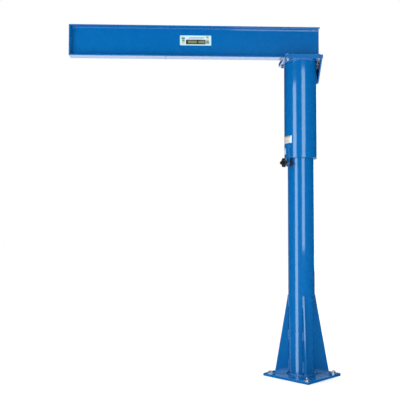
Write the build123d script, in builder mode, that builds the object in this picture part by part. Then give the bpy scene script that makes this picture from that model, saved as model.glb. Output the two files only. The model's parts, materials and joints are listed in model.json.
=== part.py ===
"""Floor-anchored jib crane for lifting engines: a fixed mast with a rotating sleeve and an I-beam boom.

The origin is on the mast axis at the floor, under the base plate. Z points up and the boom
points along -X. All sizes are in millimetres.
"""

import math
import os

from build123d import *

os.makedirs("parts", exist_ok=True)

# Overall sizes
boom_height = 2921.0  # floor to the top of the boom
boom_reach = 1945.0  # mast axis to the free end of the boom
base_side = 457.2
sleeve_length = 819.0

# Base plate, its gussets and its floor anchors
base_thickness = 19.05
base_corner = 3.0
base_turn = -2.6  # degrees from the boom's line to the nearest corner of the base
gusset_thickness = 12.7
gusset_height = 650.0
gusset_nose = 4.0
gusset_foot_height = 22.0
gusset_clip = 22.0
gusset_foot_gap = 16.5
anchor_edge = 41.275
anchor_size = 19.05
anchor_thread_size = 17.4  # the cut thread at its pitch diameter, from the floor up
anchor_hole_clearance = 1.6
anchor_length = 177.8
anchor_projection = 4.0
anchor_neck = 15.0
anchor_neck_length = 22.0
anchor_cone_length = 9.0
anchor_clip_wall = 1.5
anchor_clip_gap = 1.0
anchor_clip_slit = 2.0
anchor_washer_od = 50.8
anchor_washer_thickness = 3.2
anchor_nut_flats = 28.6
anchor_nut_height = 16.3

# Mast and the spindle on its top
mast_od = 219.1
mast_wall = 8.18
mast_cap_thickness = 19.05
spindle_ledge = 12.0
spindle_foot_flange = 28.0
spindle_foot_height = 15.0
spindle_height = 60.0
spindle_stub = 1.5
spindle_chamfer = 1.2

# Tapered roller bearing between the spindle and the sleeve's head
bearing_bore = 60.0
bearing_od = 110.0
bearing_width = 38.0
roller_count = 16
roller_tilt = 14.0  # degrees from upright
roller_share = 0.208  # roller radius as a share of the space between bore and outside
roller_length = 24.0
rolling_gap = 0.3
raceway_overrun = 1.0
cone_rib = 1.5  # the lower rib reaches this far outside the pitch radius
cone_lip = 6.5  # the upper lip stays this far inside it
cone_top_drop = 4.0
cup_bottom_rise = 7.0
cage_wall = 2.0
cage_offset = 1.2
cage_rim = 4.0

# Rotating sleeve, its bush and its bearing housing
sleeve_wall = 9.27
bush_wall = 17.6
bush_height = 60.0
bush_recess = 2.0
bush_clearance = 0.1
housing_wall = 20.0
housing_shoulder = 8.0
housing_ledge = 13.0
housing_lip = 6.0

# Bolted head plates and the brace behind them
head_margin = 22.23
head_thickness = 15.875
head_corner = 2.0
head_bolt_size = 15.875
head_bolt_edge = 28.575
head_hole_clearance = 0.8
head_bolt_length = 50.8
head_bolt_flats = 23.8
head_bolt_head = 9.9
head_nut_height = 13.9
head_washer_od = 33.3
head_washer_thickness = 3.0
brace_thickness = 9.525
brace_height = 184.0
brace_inset = 13.75
brace_foot_width = 90.0
brace_overrun = 10.0

# Boom
beam_depth = 260.1
beam_flange_width = 102.1
beam_flange = 10.0
beam_web = 6.35
beam_root_radius = 7.6
beam_toe_radius = 1.2
end_plate_thickness = 12.7
hanger_hole = 14.3
hanger_gauge = 57.0
hanger_reach = 1139.0  # mast axis to the pair of holes in the bottom flange

# Rotation lock
lock_heading = -148.0
lock_bar_width = 31.75
lock_bar_thickness = 12.7
lock_bar_overlap = 107.0
lock_bar_length = 177.8
lock_drop = 42.0  # sleeve's lower edge down to the lock screw's axis
lock_screw_size = 12.7
lock_screw_clearance = 0.05
lock_bar_hole = 14.3
lock_boss_flats = 22.2
lock_boss_height = 12.0
lock_gap = 4.0
lock_pad_od = 60.0
lock_pad_thickness = 10.0
lock_tip_size = 8.0
lock_tip_depth = 5.0
lock_tip_clearance = 0.4
lock_jam_gap = 10.0
lock_jam_flats = 19.05
lock_jam_height = 7.5
knob_thickness = 24.0
knob_hub_radius = 26.0
knob_lobe_radius = 14.0
knob_lobe_circle = 24.0
knob_lobes = 4
knob_valley_radius = 6.0
knob_round = 4.0
knob_socket_depth = 16.0

# Stickers
label_thickness = 0.4
boom_label_length = 264.0
boom_label_height = 84.0
boom_label_reach = 890.0
boom_label_corner = 4.0
boom_label_rise = 18.0  # above the middle of the boom's web
data_label_width = 127.0
data_label_height = 61.0
data_label_rise = 155.0
data_label_heading = -160.0
notice_label_width = 62.0
notice_label_height = 54.0
notice_label_rise = 62.0
notice_label_heading = -179.0

edge_break = 1.0
washer_clearance = 0.8

# Places worked out from the sizes above
base_plane = Plane.XY.rotated((0, 0, base_turn + 45))
anchor_spacing = base_side - 2 * anchor_edge
anchor_circle_radius = anchor_spacing / math.sqrt(2)
anchor_washer_top = base_thickness + anchor_washer_thickness
anchor_top = anchor_washer_top + anchor_nut_height + anchor_projection
anchor_bottom = anchor_top - anchor_length
anchor_neck_bottom = anchor_bottom + anchor_cone_length
anchor_neck_top = anchor_neck_bottom + anchor_neck_length
mast_radius = mast_od / 2
beam_bottom = boom_height - beam_depth
saddle_bottom = beam_bottom - head_thickness
head_bottom = saddle_bottom - head_thickness
sleeve_bottom = head_bottom - sleeve_length
sleeve_bore = mast_od + 2 * (bush_clearance + bush_wall)
sleeve_od = sleeve_bore + 2 * sleeve_wall
sleeve_radius = sleeve_od / 2
head_side = sleeve_od + 2 * head_margin
head_bolt_spacing = head_side - 2 * head_bolt_edge
bearing_top = head_bottom - housing_shoulder
bearing_bottom = bearing_top - bearing_width
bearing_middle = bearing_bottom + bearing_width / 2
bearing_section = (bearing_od - bearing_bore) / 2
bearing_pitch_radius = (bearing_bore + bearing_section) / 2
roller_radius = bearing_section * roller_share
spindle_shank_od = bearing_bore + 2 * spindle_ledge
spindle_foot_od = spindle_shank_od + 2 * spindle_foot_flange
housing_od = bearing_od + 2 * housing_wall
housing_relief_radius = bearing_od / 2 - housing_ledge
housing_height = housing_shoulder + bearing_width + housing_lip
mast_cap_top = bearing_bottom - spindle_height
mast_top = mast_cap_top - mast_cap_thickness


# Base plate: flame-cut square with a drilled hole in each corner.
with BuildPart() as base_plate:
    with BuildSketch(base_plane):
        RectangleRounded(base_side, base_side, base_corner)
        with GridLocations(anchor_spacing, anchor_spacing, 2, 2):
            Circle(anchor_size / 2 + anchor_hole_clearance, mode=Mode.SUBTRACT)
    extrude(amount=base_thickness)
    chamfer(base_plate.faces().sort_by(Axis.Z)[-1].outer_wire().edges(), edge_break)
base_plate.part.label = "base_plate"
export_step(base_plate.part, "parts/base_plate.step")


# Four tapered gussets stand on the plate's diagonals, with a clipped corner over the weld.
def radial_plane(heading):
    """Upright plane through the mast axis, with its x axis pointing out along the heading."""
    turn = math.radians(heading)
    return Plane(
        origin=(0, 0, 0),
        x_dir=(math.cos(turn), math.sin(turn), 0),
        z_dir=(math.sin(turn), -math.cos(turn), 0),
    )


gusset_foot_radius = anchor_circle_radius - anchor_washer_od / 2 - gusset_foot_gap
gusset_headings = {"gusset_right": 0, "gusset_back": 90, "gusset_left": 180, "gusset_front": 270}
for gusset_name, gusset_heading in gusset_headings.items():
    with BuildPart() as gusset:
        with BuildSketch(radial_plane(gusset_heading + base_turn)):
            with BuildLine():
                Polyline(
                    (mast_radius + gusset_clip, base_thickness),
                    (gusset_foot_radius, base_thickness),
                    (gusset_foot_radius, base_thickness + gusset_foot_height),
                    (mast_radius + gusset_nose, base_thickness + gusset_height),
                    (mast_radius, base_thickness + gusset_height),
                    (mast_radius, base_thickness + gusset_clip),
                    close=True,
                )
            make_face()
        extrude(amount=gusset_thickness / 2, both=True)
        chamfer(gusset.edges().sort_by(SortBy.LENGTH)[-2:], edge_break)
    gusset.part.label = gusset_name
    export_step(gusset.part, f"parts/{gusset_name}.step")


# Wedge anchors: studs with a coned end, clips that spread in the floor, washers and nuts.
upward = (Align.CENTER, Align.CENTER, Align.MIN)


def at_anchors():
    """The four anchor places on the plane in use."""
    return GridLocations(anchor_spacing, anchor_spacing, 2, 2)


with BuildPart(base_plane.offset(anchor_bottom)) as anchor_studs:
    with at_anchors():
        Cone(anchor_size / 2, anchor_neck / 2, anchor_cone_length, align=upward)
    with Locations((0, 0, anchor_cone_length)):
        with at_anchors():
            Cylinder(anchor_neck / 2, anchor_neck_length, align=upward)
    with Locations((0, 0, anchor_cone_length + anchor_neck_length)):
        with at_anchors():
            Cylinder(anchor_size / 2, -anchor_neck_top, align=upward)
    with Locations((0, 0, -anchor_bottom)):
        with at_anchors():
            Cylinder(anchor_thread_size / 2, anchor_top, align=upward)
    chamfer(anchor_studs.faces().sort_by(Axis.Z)[-4:].edges(), edge_break)
anchor_studs.part.label = "anchor_studs"
export_step(anchor_studs.part, "parts/anchor_studs.step")

with BuildPart() as anchor_clips:
    with BuildSketch(base_plane.offset(anchor_neck_bottom + anchor_clip_gap)):
        with at_anchors():
            Circle(anchor_neck / 2 + anchor_clip_wall)
            Circle(anchor_neck / 2, mode=Mode.SUBTRACT)
            with Locations((anchor_size / 2, 0)):
                Rectangle(anchor_size, anchor_clip_slit, mode=Mode.SUBTRACT)
    extrude(amount=anchor_neck_length - 2 * anchor_clip_gap)
anchor_clips.part.label = "anchor_clips"
export_step(anchor_clips.part, "parts/anchor_clips.step")

with BuildPart() as anchor_washers:
    with BuildSketch(base_plane.offset(base_thickness)):
        with at_anchors():
            Circle(anchor_washer_od / 2)
            Circle(anchor_size / 2 + washer_clearance, mode=Mode.SUBTRACT)
    extrude(amount=anchor_washer_thickness)
anchor_washers.part.label = "anchor_washers"
export_step(anchor_washers.part, "parts/anchor_washers.step")

with BuildPart() as anchor_nuts:
    with BuildSketch(base_plane.offset(anchor_washer_top)):
        with at_anchors():
            RegularPolygon(anchor_nut_flats / 2, 6, major_radius=False)
            Circle(anchor_thread_size / 2, mode=Mode.SUBTRACT)
    extrude(amount=anchor_nut_height)
anchor_nuts.part.label = "anchor_nuts"
export_step(anchor_nuts.part, "parts/anchor_nuts.step")


# Mast: steel pipe on the base plate, closed by a cap plate that carries the spindle.
with BuildPart() as mast_tube:
    with BuildSketch(Plane.XY.offset(base_thickness)):
        Circle(mast_radius)
        Circle(mast_radius - mast_wall, mode=Mode.SUBTRACT)
    extrude(amount=mast_top - base_thickness)
mast_tube.part.label = "mast_tube"
export_step(mast_tube.part, "parts/mast_tube.step")

with BuildPart() as mast_cap:
    with BuildSketch(Plane.XY.offset(mast_top)):
        Circle(mast_radius)
    extrude(amount=mast_cap_thickness)
    chamfer(mast_cap.faces().sort_by(Axis.Z)[-1].edges(), edge_break)
mast_cap.part.label = "mast_cap"
export_step(mast_cap.part, "parts/mast_cap.step")

with BuildPart() as spindle:
    with BuildSketch(Plane.XY.offset(mast_cap_top)):
        Circle(spindle_foot_od / 2)
    extrude(amount=spindle_foot_height)
    with BuildSketch(Plane.XY.offset(mast_cap_top)):
        Circle(spindle_shank_od / 2)
    extrude(amount=spindle_height)
    with BuildSketch(Plane.XY.offset(bearing_bottom)):
        Circle(bearing_bore / 2)
    extrude(amount=bearing_width + spindle_stub)
    chamfer(spindle.faces().sort_by(Axis.Z)[-1].edges(), spindle_chamfer)
spindle.part.label = "spindle"
export_step(spindle.part, "parts/spindle.step")


# Tapered roller bearing. Its rollers lean out going down, so it takes the boom's weight and its pull.
tilt = math.radians(roller_tilt)
apex_distance = bearing_pitch_radius / math.sin(tilt)


def roller_size(along):
    """Roller radius at a distance down its axis from its middle."""
    return roller_radius * (apex_distance + along) / apex_distance


def beside_roller(along, offset):
    """Point in the radius-height plane, offset outwards from the roller's axis."""
    radius = bearing_pitch_radius + math.sin(tilt) * along + math.cos(tilt) * offset
    height = bearing_middle - math.cos(tilt) * along + math.sin(tilt) * offset
    return radius, height


raceway_half = roller_length / 2 + raceway_overrun
cone_upper = beside_roller(-raceway_half, -roller_size(-raceway_half) - rolling_gap)
cone_lower = beside_roller(raceway_half, -roller_size(raceway_half) - rolling_gap)
with BuildPart() as bearing_cone:
    with BuildSketch(Plane.XZ):
        with BuildLine():
            Polyline(
                (bearing_bore / 2, bearing_bottom),
                (bearing_pitch_radius + cone_rib, bearing_bottom),
                (bearing_pitch_radius + cone_rib, cone_lower[1]),
                cone_lower,
                cone_upper,
                (bearing_pitch_radius - cone_lip, cone_upper[1]),
                (bearing_pitch_radius - cone_lip, bearing_top - cone_top_drop),
                (bearing_bore / 2, bearing_top - cone_top_drop),
                close=True,
            )
        make_face()
    revolve(axis=Axis.Z)
bearing_cone.part.label = "bearing_cone"
export_step(bearing_cone.part, "parts/bearing_cone.step")

cup_upper = beside_roller(-raceway_half, roller_size(-raceway_half) + rolling_gap)
cup_lower = beside_roller(raceway_half, roller_size(raceway_half) + rolling_gap)
cup_slope = (cup_upper[0] - cup_lower[0]) / (cup_upper[1] - cup_lower[1])
cup_bottom = bearing_bottom + cup_bottom_rise
with BuildPart() as bearing_cup:
    with BuildSketch(Plane.XZ):
        with BuildLine():
            Polyline(
                (bearing_od / 2, bearing_top),
                (cup_upper[0] + cup_slope * (bearing_top - cup_upper[1]), bearing_top),
                (cup_upper[0] + cup_slope * (cup_bottom - cup_upper[1]), cup_bottom),
                (bearing_od / 2, cup_bottom),
                close=True,
            )
        make_face()
    revolve(axis=Axis.Z)
bearing_cup.part.label = "bearing_cup"
export_step(bearing_cup.part, "parts/bearing_cup.step")


def add_rollers(extra, mode):
    """Ring of tapered rollers, grown by extra all over."""
    large = roller_size(roller_length / 2) + extra
    small = roller_size(-roller_length / 2) + extra
    with Locations((0, 0, bearing_middle)):
        with PolarLocations(bearing_pitch_radius, roller_count):
            Cone(large, small, roller_length + 2 * extra, rotation=(0, -roller_tilt, 0), mode=mode)


with BuildPart() as bearing_rollers:
    add_rollers(0, Mode.ADD)
bearing_rollers.part.label = "bearing_rollers"
export_step(bearing_rollers.part, "parts/bearing_rollers.step")

cage_half = roller_length / 2 + cage_rim
with BuildPart() as bearing_cage:
    with BuildSketch(Plane.XZ):
        with BuildLine():
            Polyline(
                beside_roller(-cage_half, cage_offset),
                beside_roller(cage_half, cage_offset),
                beside_roller(cage_half, cage_offset + cage_wall),
                beside_roller(-cage_half, cage_offset + cage_wall),
                close=True,
            )
        make_face()
    revolve(axis=Axis.Z)
    add_rollers(rolling_gap, Mode.SUBTRACT)
bearing_cage.part.label = "bearing_cage"
export_step(bearing_cage.part, "parts/bearing_cage.step")


# Sleeve: steel pipe that turns on the mast, guided by a plastic bush at its lower end.
with BuildPart() as sleeve_tube:
    with BuildSketch(Plane.XY.offset(sleeve_bottom)):
        Circle(sleeve_radius)
        Circle(sleeve_bore / 2, mode=Mode.SUBTRACT)
    extrude(amount=sleeve_length)
    chamfer(sleeve_tube.faces().sort_by(Axis.Z)[0].outer_wire().edges(), edge_break)
sleeve_tube.part.label = "sleeve_tube"
export_step(sleeve_tube.part, "parts/sleeve_tube.step")

with BuildPart() as lower_bush:
    with BuildSketch(Plane.XY.offset(sleeve_bottom + bush_recess)):
        Circle(sleeve_bore / 2)
        Circle(mast_radius + bush_clearance, mode=Mode.SUBTRACT)
    extrude(amount=bush_height)
lower_bush.part.label = "lower_bush"
export_step(lower_bush.part, "parts/lower_bush.step")

# Bearing housing: a turned ring welded under the head plate, bored from below for the cup.
with BuildPart() as bearing_housing:
    with BuildSketch(Plane.XY.offset(head_bottom - housing_height)):
        Circle(housing_od / 2)
        Circle(bearing_od / 2, mode=Mode.SUBTRACT)
    extrude(amount=housing_height)
    with BuildSketch(Plane.XY.offset(bearing_top)):
        Circle(bearing_od / 2)
        Circle(housing_relief_radius, mode=Mode.SUBTRACT)
    extrude(amount=housing_shoulder)
bearing_housing.part.label = "bearing_housing"
export_step(bearing_housing.part, "parts/bearing_housing.step")


# Two square plates, one welded on the sleeve and one under the boom, bolted at their corners.
def at_head_bolts():
    """The four head bolt places."""
    return GridLocations(head_bolt_spacing, head_bolt_spacing, 2, 2)


for plate_name, plate_bottom in {"head_plate": head_bottom, "saddle_plate": saddle_bottom}.items():
    with BuildPart() as plate:
        with BuildSketch(Plane.XY.offset(plate_bottom)):
            RectangleRounded(head_side, head_side, head_corner)
            with at_head_bolts():
                Circle(head_bolt_size / 2 + head_hole_clearance, mode=Mode.SUBTRACT)
        extrude(amount=head_thickness)
        for plate_face in (plate.faces().sort_by(Axis.Z)[0], plate.faces().sort_by(Axis.Z)[-1]):
            chamfer(plate_face.outer_wire().edges(), edge_break)
    plate.part.label = plate_name
    export_step(plate.part, f"parts/{plate_name}.step")

with BuildPart() as head_bolts:
    with BuildSketch(Plane.XY.offset(beam_bottom)):
        with at_head_bolts():
            RegularPolygon(head_bolt_flats / 2, 6, major_radius=False)
    extrude(amount=head_bolt_head)
    with BuildSketch(Plane.XY.offset(beam_bottom)):
        with at_head_bolts():
            Circle(head_bolt_size / 2)
    extrude(amount=-head_bolt_length)
head_bolts.part.label = "head_bolts"
export_step(head_bolts.part, "parts/head_bolts.step")

with BuildPart() as head_washers:
    with BuildSketch(Plane.XY.offset(head_bottom)):
        with at_head_bolts():
            Circle(head_washer_od / 2)
            Circle(head_bolt_size / 2 + washer_clearance, mode=Mode.SUBTRACT)
    extrude(amount=-head_washer_thickness)
head_washers.part.label = "head_washers"
export_step(head_washers.part, "parts/head_washers.step")

with BuildPart() as head_nuts:
    with BuildSketch(Plane.XY.offset(head_bottom - head_washer_thickness)):
        with at_head_bolts():
            RegularPolygon(head_bolt_flats / 2, 6, major_radius=False)
            Circle(head_bolt_size / 2, mode=Mode.SUBTRACT)
    extrude(amount=-head_nut_height)
head_nuts.part.label = "head_nuts"
export_step(head_nuts.part, "parts/head_nuts.step")


# Rear brace: a flat plate tapering from the head plate's back edge down to the sleeve.
brace_top_width = head_side - 2 * brace_inset
brace_top_x = head_side / 2 - edge_break
brace_foot_x = sleeve_radius + brace_thickness
brace_lean = math.atan2(brace_top_x - brace_foot_x, brace_height)
brace_slant = brace_height / math.cos(brace_lean)
brace_plane = Plane(
    origin=(brace_top_x, 0, head_bottom),
    x_dir=(0, 1, 0),
    z_dir=(math.cos(brace_lean), 0, -math.sin(brace_lean)),
)
with BuildPart() as rear_brace:
    with BuildSketch(brace_plane):
        with BuildLine():
            Polyline(
                (-brace_top_width / 2, brace_overrun),
                (brace_top_width / 2, brace_overrun),
                (brace_foot_width / 2, -brace_slant),
                (-brace_foot_width / 2, -brace_slant),
                close=True,
            )
        make_face()
    extrude(amount=-brace_thickness)
    split(bisect_by=Plane.XY.offset(head_bottom), keep=Keep.BOTTOM)
rear_brace.part.label = "rear_brace"
export_step(rear_brace.part, "parts/rear_brace.step")


# Boom: rolled I-beam, closed by a plate at its free end and flush with the plates at its back.
boom_tail = head_side / 2
beam_length = boom_reach - end_plate_thickness + boom_tail
beam_middle = beam_bottom + beam_depth / 2
channel_width = (beam_flange_width - beam_web) / 2
channel_height = beam_depth - 2 * beam_flange
with BuildPart() as boom_beam:
    with BuildSketch(Plane.YZ.offset(boom_tail)) as beam_section:
        with Locations((0, beam_middle)):
            Rectangle(beam_flange_width, beam_depth)
            with GridLocations(beam_web + channel_width, 0, 2, 1):
                Rectangle(channel_width, channel_height, mode=Mode.SUBTRACT)
        root_corners = [v for v in beam_section.vertices() if abs(v.X) < beam_flange_width / 4]
        toe_corners = [v for v in beam_section.vertices() if abs(v.X) > beam_flange_width / 4]
        fillet(root_corners, beam_root_radius)
        fillet(toe_corners, beam_toe_radius)
    extrude(amount=-beam_length)
    with BuildSketch(Plane.XY.offset(beam_bottom)):
        with Locations((-hanger_reach, 0)):
            with GridLocations(0, hanger_gauge, 1, 2):
                Circle(hanger_hole / 2)
    extrude(amount=beam_flange, mode=Mode.SUBTRACT)
boom_beam.part.label = "boom_beam"
export_step(boom_beam.part, "parts/boom_beam.step")

with BuildPart() as boom_end_plate:
    with BuildSketch(Plane.YZ.offset(-boom_reach)):
        with Locations((0, beam_middle)):
            Rectangle(beam_flange_width, beam_depth)
    extrude(amount=end_plate_thickness)
    chamfer(boom_end_plate.faces().sort_by(Axis.X)[0].edges(), edge_break)
boom_end_plate.part.label = "boom_end_plate"
export_step(boom_end_plate.part, "parts/boom_end_plate.step")


# Rotation lock: a flat bar on the sleeve hangs below it and carries a hand screw with a pad.
lock_turn = math.radians(lock_heading)
lock_out = (math.cos(lock_turn), math.sin(lock_turn), 0)
lock_side = (-math.sin(lock_turn), math.cos(lock_turn), 0)
lock_height = sleeve_bottom - lock_drop


def lock_plane(radius, height=lock_height):
    """Plane across the lock screw's line at a distance from the mast axis, facing outwards."""
    origin = (lock_out[0] * radius, lock_out[1] * radius, height)
    return Plane(origin=origin, x_dir=lock_side, z_dir=lock_out)


lock_bar_face = sleeve_radius + lock_bar_thickness
lock_bar_top = sleeve_bottom + lock_bar_overlap
with BuildPart() as lock_bar:
    with BuildSketch(lock_plane(sleeve_radius, lock_bar_top)):
        with Locations((0, -lock_bar_length / 2)):
            Rectangle(lock_bar_width, lock_bar_length)
        with Locations((0, lock_height - lock_bar_top)):
            Circle(lock_bar_hole / 2, mode=Mode.SUBTRACT)
    extrude(amount=lock_bar_thickness)
    chamfer(lock_bar.edges().filter_by(Axis.Z), edge_break)
lock_bar.part.label = "lock_bar"
export_step(lock_bar.part, "parts/lock_bar.step")

lock_boss_end = lock_bar_face + lock_boss_height
with BuildPart() as lock_boss:
    with BuildSketch(lock_plane(lock_bar_face)):
        RegularPolygon(lock_boss_flats / 2, 6, major_radius=False)
        Circle(lock_screw_size / 2 + lock_screw_clearance, mode=Mode.SUBTRACT)
    extrude(amount=lock_boss_height)
lock_boss.part.label = "lock_boss"
export_step(lock_boss.part, "parts/lock_boss.step")

lock_pad_face = mast_radius + lock_gap
lock_pad_back = lock_pad_face + lock_pad_thickness
lock_tip_end = lock_pad_back - lock_tip_depth
with BuildPart() as lock_pad:
    with BuildSketch(lock_plane(lock_pad_face)):
        Circle(lock_pad_od / 2)
    extrude(amount=lock_pad_thickness)
    with BuildSketch(lock_plane(lock_tip_end - lock_tip_clearance)):
        Circle(lock_tip_size / 2 + lock_screw_clearance)
    extrude(amount=lock_tip_depth + lock_tip_clearance, mode=Mode.SUBTRACT)
lock_pad.part.label = "lock_pad"
export_step(lock_pad.part, "parts/lock_pad.step")

lock_jam_start = lock_boss_end + lock_jam_gap
knob_start = lock_jam_start + lock_jam_height
lock_shoulder = lock_pad_back + lock_tip_clearance
lock_screw_end = knob_start + knob_socket_depth
with BuildPart() as lock_screw:
    with BuildSketch(lock_plane(lock_tip_end)):
        Circle(lock_tip_size / 2)
    extrude(amount=lock_shoulder - lock_tip_end)
    with BuildSketch(lock_plane(lock_shoulder)):
        Circle(lock_screw_size / 2)
    extrude(amount=lock_screw_end - lock_shoulder)
lock_screw.part.label = "lock_screw"
export_step(lock_screw.part, "parts/lock_screw.step")

with BuildPart() as lock_jam_nut:
    with BuildSketch(lock_plane(lock_jam_start)):
        RegularPolygon(lock_jam_flats / 2, 6, major_radius=False)
        Circle(lock_screw_size / 2, mode=Mode.SUBTRACT)
    extrude(amount=lock_jam_height)
lock_jam_nut.part.label = "lock_jam_nut"
export_step(lock_jam_nut.part, "parts/lock_jam_nut.step")

with BuildPart() as lock_knob:
    with BuildSketch(lock_plane(knob_start)) as knob_outline:
        Circle(knob_hub_radius)
        with PolarLocations(knob_lobe_circle, knob_lobes):
            Circle(knob_lobe_radius)
        fillet(knob_outline.vertices(), knob_valley_radius)
    extrude(amount=knob_thickness)
    fillet(lock_knob.faces().sort_by(Axis((0, 0, 0), lock_out))[-1].edges(), knob_round)
    with BuildSketch(lock_plane(knob_start)):
        Circle(lock_screw_size / 2)
    extrude(amount=knob_socket_depth, mode=Mode.SUBTRACT)
lock_knob.part.label = "lock_knob"
export_step(lock_knob.part, "parts/lock_knob.step")


# Stickers: one on the boom's web and two on the sleeve.
with BuildPart() as boom_label:
    with BuildSketch(Plane.XZ.offset(beam_web / 2)):
        with Locations((-boom_label_reach, beam_middle + boom_label_rise)):
            RectangleRounded(boom_label_length, boom_label_height, boom_label_corner)
    extrude(amount=label_thickness)
boom_label.part.label = "boom_label"
export_step(boom_label.part, "parts/boom_label.step")

sleeve_labels = {
    "data_label": (data_label_width, data_label_height, data_label_rise, data_label_heading),
    "notice_label": (
        notice_label_width,
        notice_label_height,
        notice_label_rise,
        notice_label_heading,
    ),
}
for label_name, (width, height, rise, heading) in sleeve_labels.items():
    label_arc = math.degrees(width / sleeve_radius)
    with BuildPart() as sleeve_label:
        with BuildSketch(radial_plane(heading - label_arc / 2)):
            with Locations((sleeve_radius + label_thickness / 2, sleeve_bottom + rise)):
                Rectangle(label_thickness, height)
        revolve(axis=Axis.Z, revolution_arc=label_arc)
    sleeve_label.part.label = label_name
    export_step(sleeve_label.part, f"parts/{label_name}.step")
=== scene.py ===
import json
import math

import bmesh
import bpy
from mathutils import Matrix, Vector


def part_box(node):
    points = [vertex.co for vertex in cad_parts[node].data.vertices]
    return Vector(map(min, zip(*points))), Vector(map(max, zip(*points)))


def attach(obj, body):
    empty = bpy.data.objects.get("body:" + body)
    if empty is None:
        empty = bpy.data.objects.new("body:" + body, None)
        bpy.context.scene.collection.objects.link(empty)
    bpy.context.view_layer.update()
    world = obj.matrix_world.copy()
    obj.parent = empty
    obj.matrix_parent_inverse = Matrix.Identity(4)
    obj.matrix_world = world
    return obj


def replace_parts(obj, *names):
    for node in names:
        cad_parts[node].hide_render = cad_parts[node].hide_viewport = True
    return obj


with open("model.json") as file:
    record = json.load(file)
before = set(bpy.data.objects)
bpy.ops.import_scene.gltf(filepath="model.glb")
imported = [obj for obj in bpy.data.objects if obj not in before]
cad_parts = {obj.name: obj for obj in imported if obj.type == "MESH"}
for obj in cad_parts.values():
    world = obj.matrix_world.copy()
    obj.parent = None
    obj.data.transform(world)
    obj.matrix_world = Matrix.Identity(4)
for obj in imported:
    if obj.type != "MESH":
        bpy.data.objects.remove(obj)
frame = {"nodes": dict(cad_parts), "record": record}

scene = bpy.context.scene
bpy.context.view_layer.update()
nodes = frame["nodes"]

# ------------------------------------------------------------
# Base plate: a flame-cut square of steel plate, gloss blue all over, bolted down at its corners.
# The paint is one thick coat over fabricated steel, so every painted piece shares this recipe.


def add_node(tree, kind, inputs=None, **settings):
    """Adds a shader node; inputs are values or sockets by input name or number."""
    made = tree.nodes.new(kind)
    for key, value in settings.items():
        setattr(made, key, value)
    for key, value in (inputs or {}).items():
        if isinstance(value, bpy.types.NodeSocket):
            tree.links.new(value, made.inputs[key])
        else:
            made.inputs[key].default_value = value
    return made


def start_material(name):
    """Empty material with its output, its surface shader and the object's own coordinates."""
    material = bpy.data.materials.new(name)
    material.use_nodes = True
    tree = material.node_tree
    tree.nodes.clear()
    shader = add_node(tree, "ShaderNodeBsdfPrincipled")
    add_node(tree, "ShaderNodeOutputMaterial", {"Surface": shader.outputs["BSDF"]})
    place = add_node(tree, "ShaderNodeTexCoord").outputs["Object"]
    return material, tree, shader, place


def blend_colours(tree, share, first, second):
    """Mixes two colours by a share and returns the colour socket."""
    inputs = {0: share, 6: first, 7: second}
    return add_node(tree, "ShaderNodeMix", inputs, data_type="RGBA").outputs[2]


def arithmetic(tree, operation, first, second):
    """One sum on two values or sockets, kept between 0 and 1."""
    inputs = {0: first, 1: second}
    return add_node(tree, "ShaderNodeMath", inputs, operation=operation, use_clamp=True).outputs[0]


def remap(tree, value, low, high, new_low=0.0, new_high=1.0):
    """Stretches a value from one range to another, smoothly and without overshoot."""
    inputs = {"Value": value, 1: low, 2: high, 3: new_low, 4: new_high}
    return add_node(tree, "ShaderNodeMapRange", inputs, interpolation_type="SMOOTHSTEP").outputs[0]


def grain(tree, place, scale, detail=2.0, stretch=(1.0, 1.0, 1.0)):
    """Noise from 0 to 1; scale is its lumps per metre, stretch multiplies the coordinates."""
    if stretch != (1.0, 1.0, 1.0):
        inputs = {"Vector": place, "Scale": stretch}
        place = add_node(tree, "ShaderNodeMapping", inputs).outputs[0]
    inputs = {"Vector": place, "Scale": scale, "Detail": detail}
    return add_node(tree, "ShaderNodeTexNoise", inputs).outputs["Fac"]


def eased(tree, radius):
    """Normal with the piece's sharp edges eased by a radius."""
    return add_node(tree, "ShaderNodeBevel", {"Radius": radius}, samples=4).outputs[0]


def bump(tree, strength, distance, height, normal):
    """Normal raised by a height from 0 to 1 over a distance in metres."""
    inputs = {"Strength": strength, "Distance": distance, "Height": height, "Normal": normal}
    return add_node(tree, "ShaderNodeBump", inputs).outputs[0]


def edge_share(tree, radius):
    """About 1 within radius of a sharp outside or inside edge, and 0 on open surfaces."""
    normal = add_node(tree, "ShaderNodeNewGeometry").outputs["Normal"]
    inputs = {0: eased(tree, radius), 1: normal}
    straight = add_node(tree, "ShaderNodeVectorMath", inputs, operation="DOT_PRODUCT").outputs["Value"]
    return remap(tree, straight, 0.995, 0.86)


PAINT_BLUE = (0.0, 0.122, 0.385, 1)
PAINT_DEEP = (0.0, 0.110, 0.356, 1)
# Paler blue of thin paint on edges, which also serves as a painted highlight along them.
PAINT_THIN_AND_HIGHLIGHT = (0.003, 0.160, 0.450, 1)
PRIMER_GREY = (0.16, 0.17, 0.18, 1)
SHOP_DUST = (0.42, 0.44, 0.46, 1)


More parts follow.
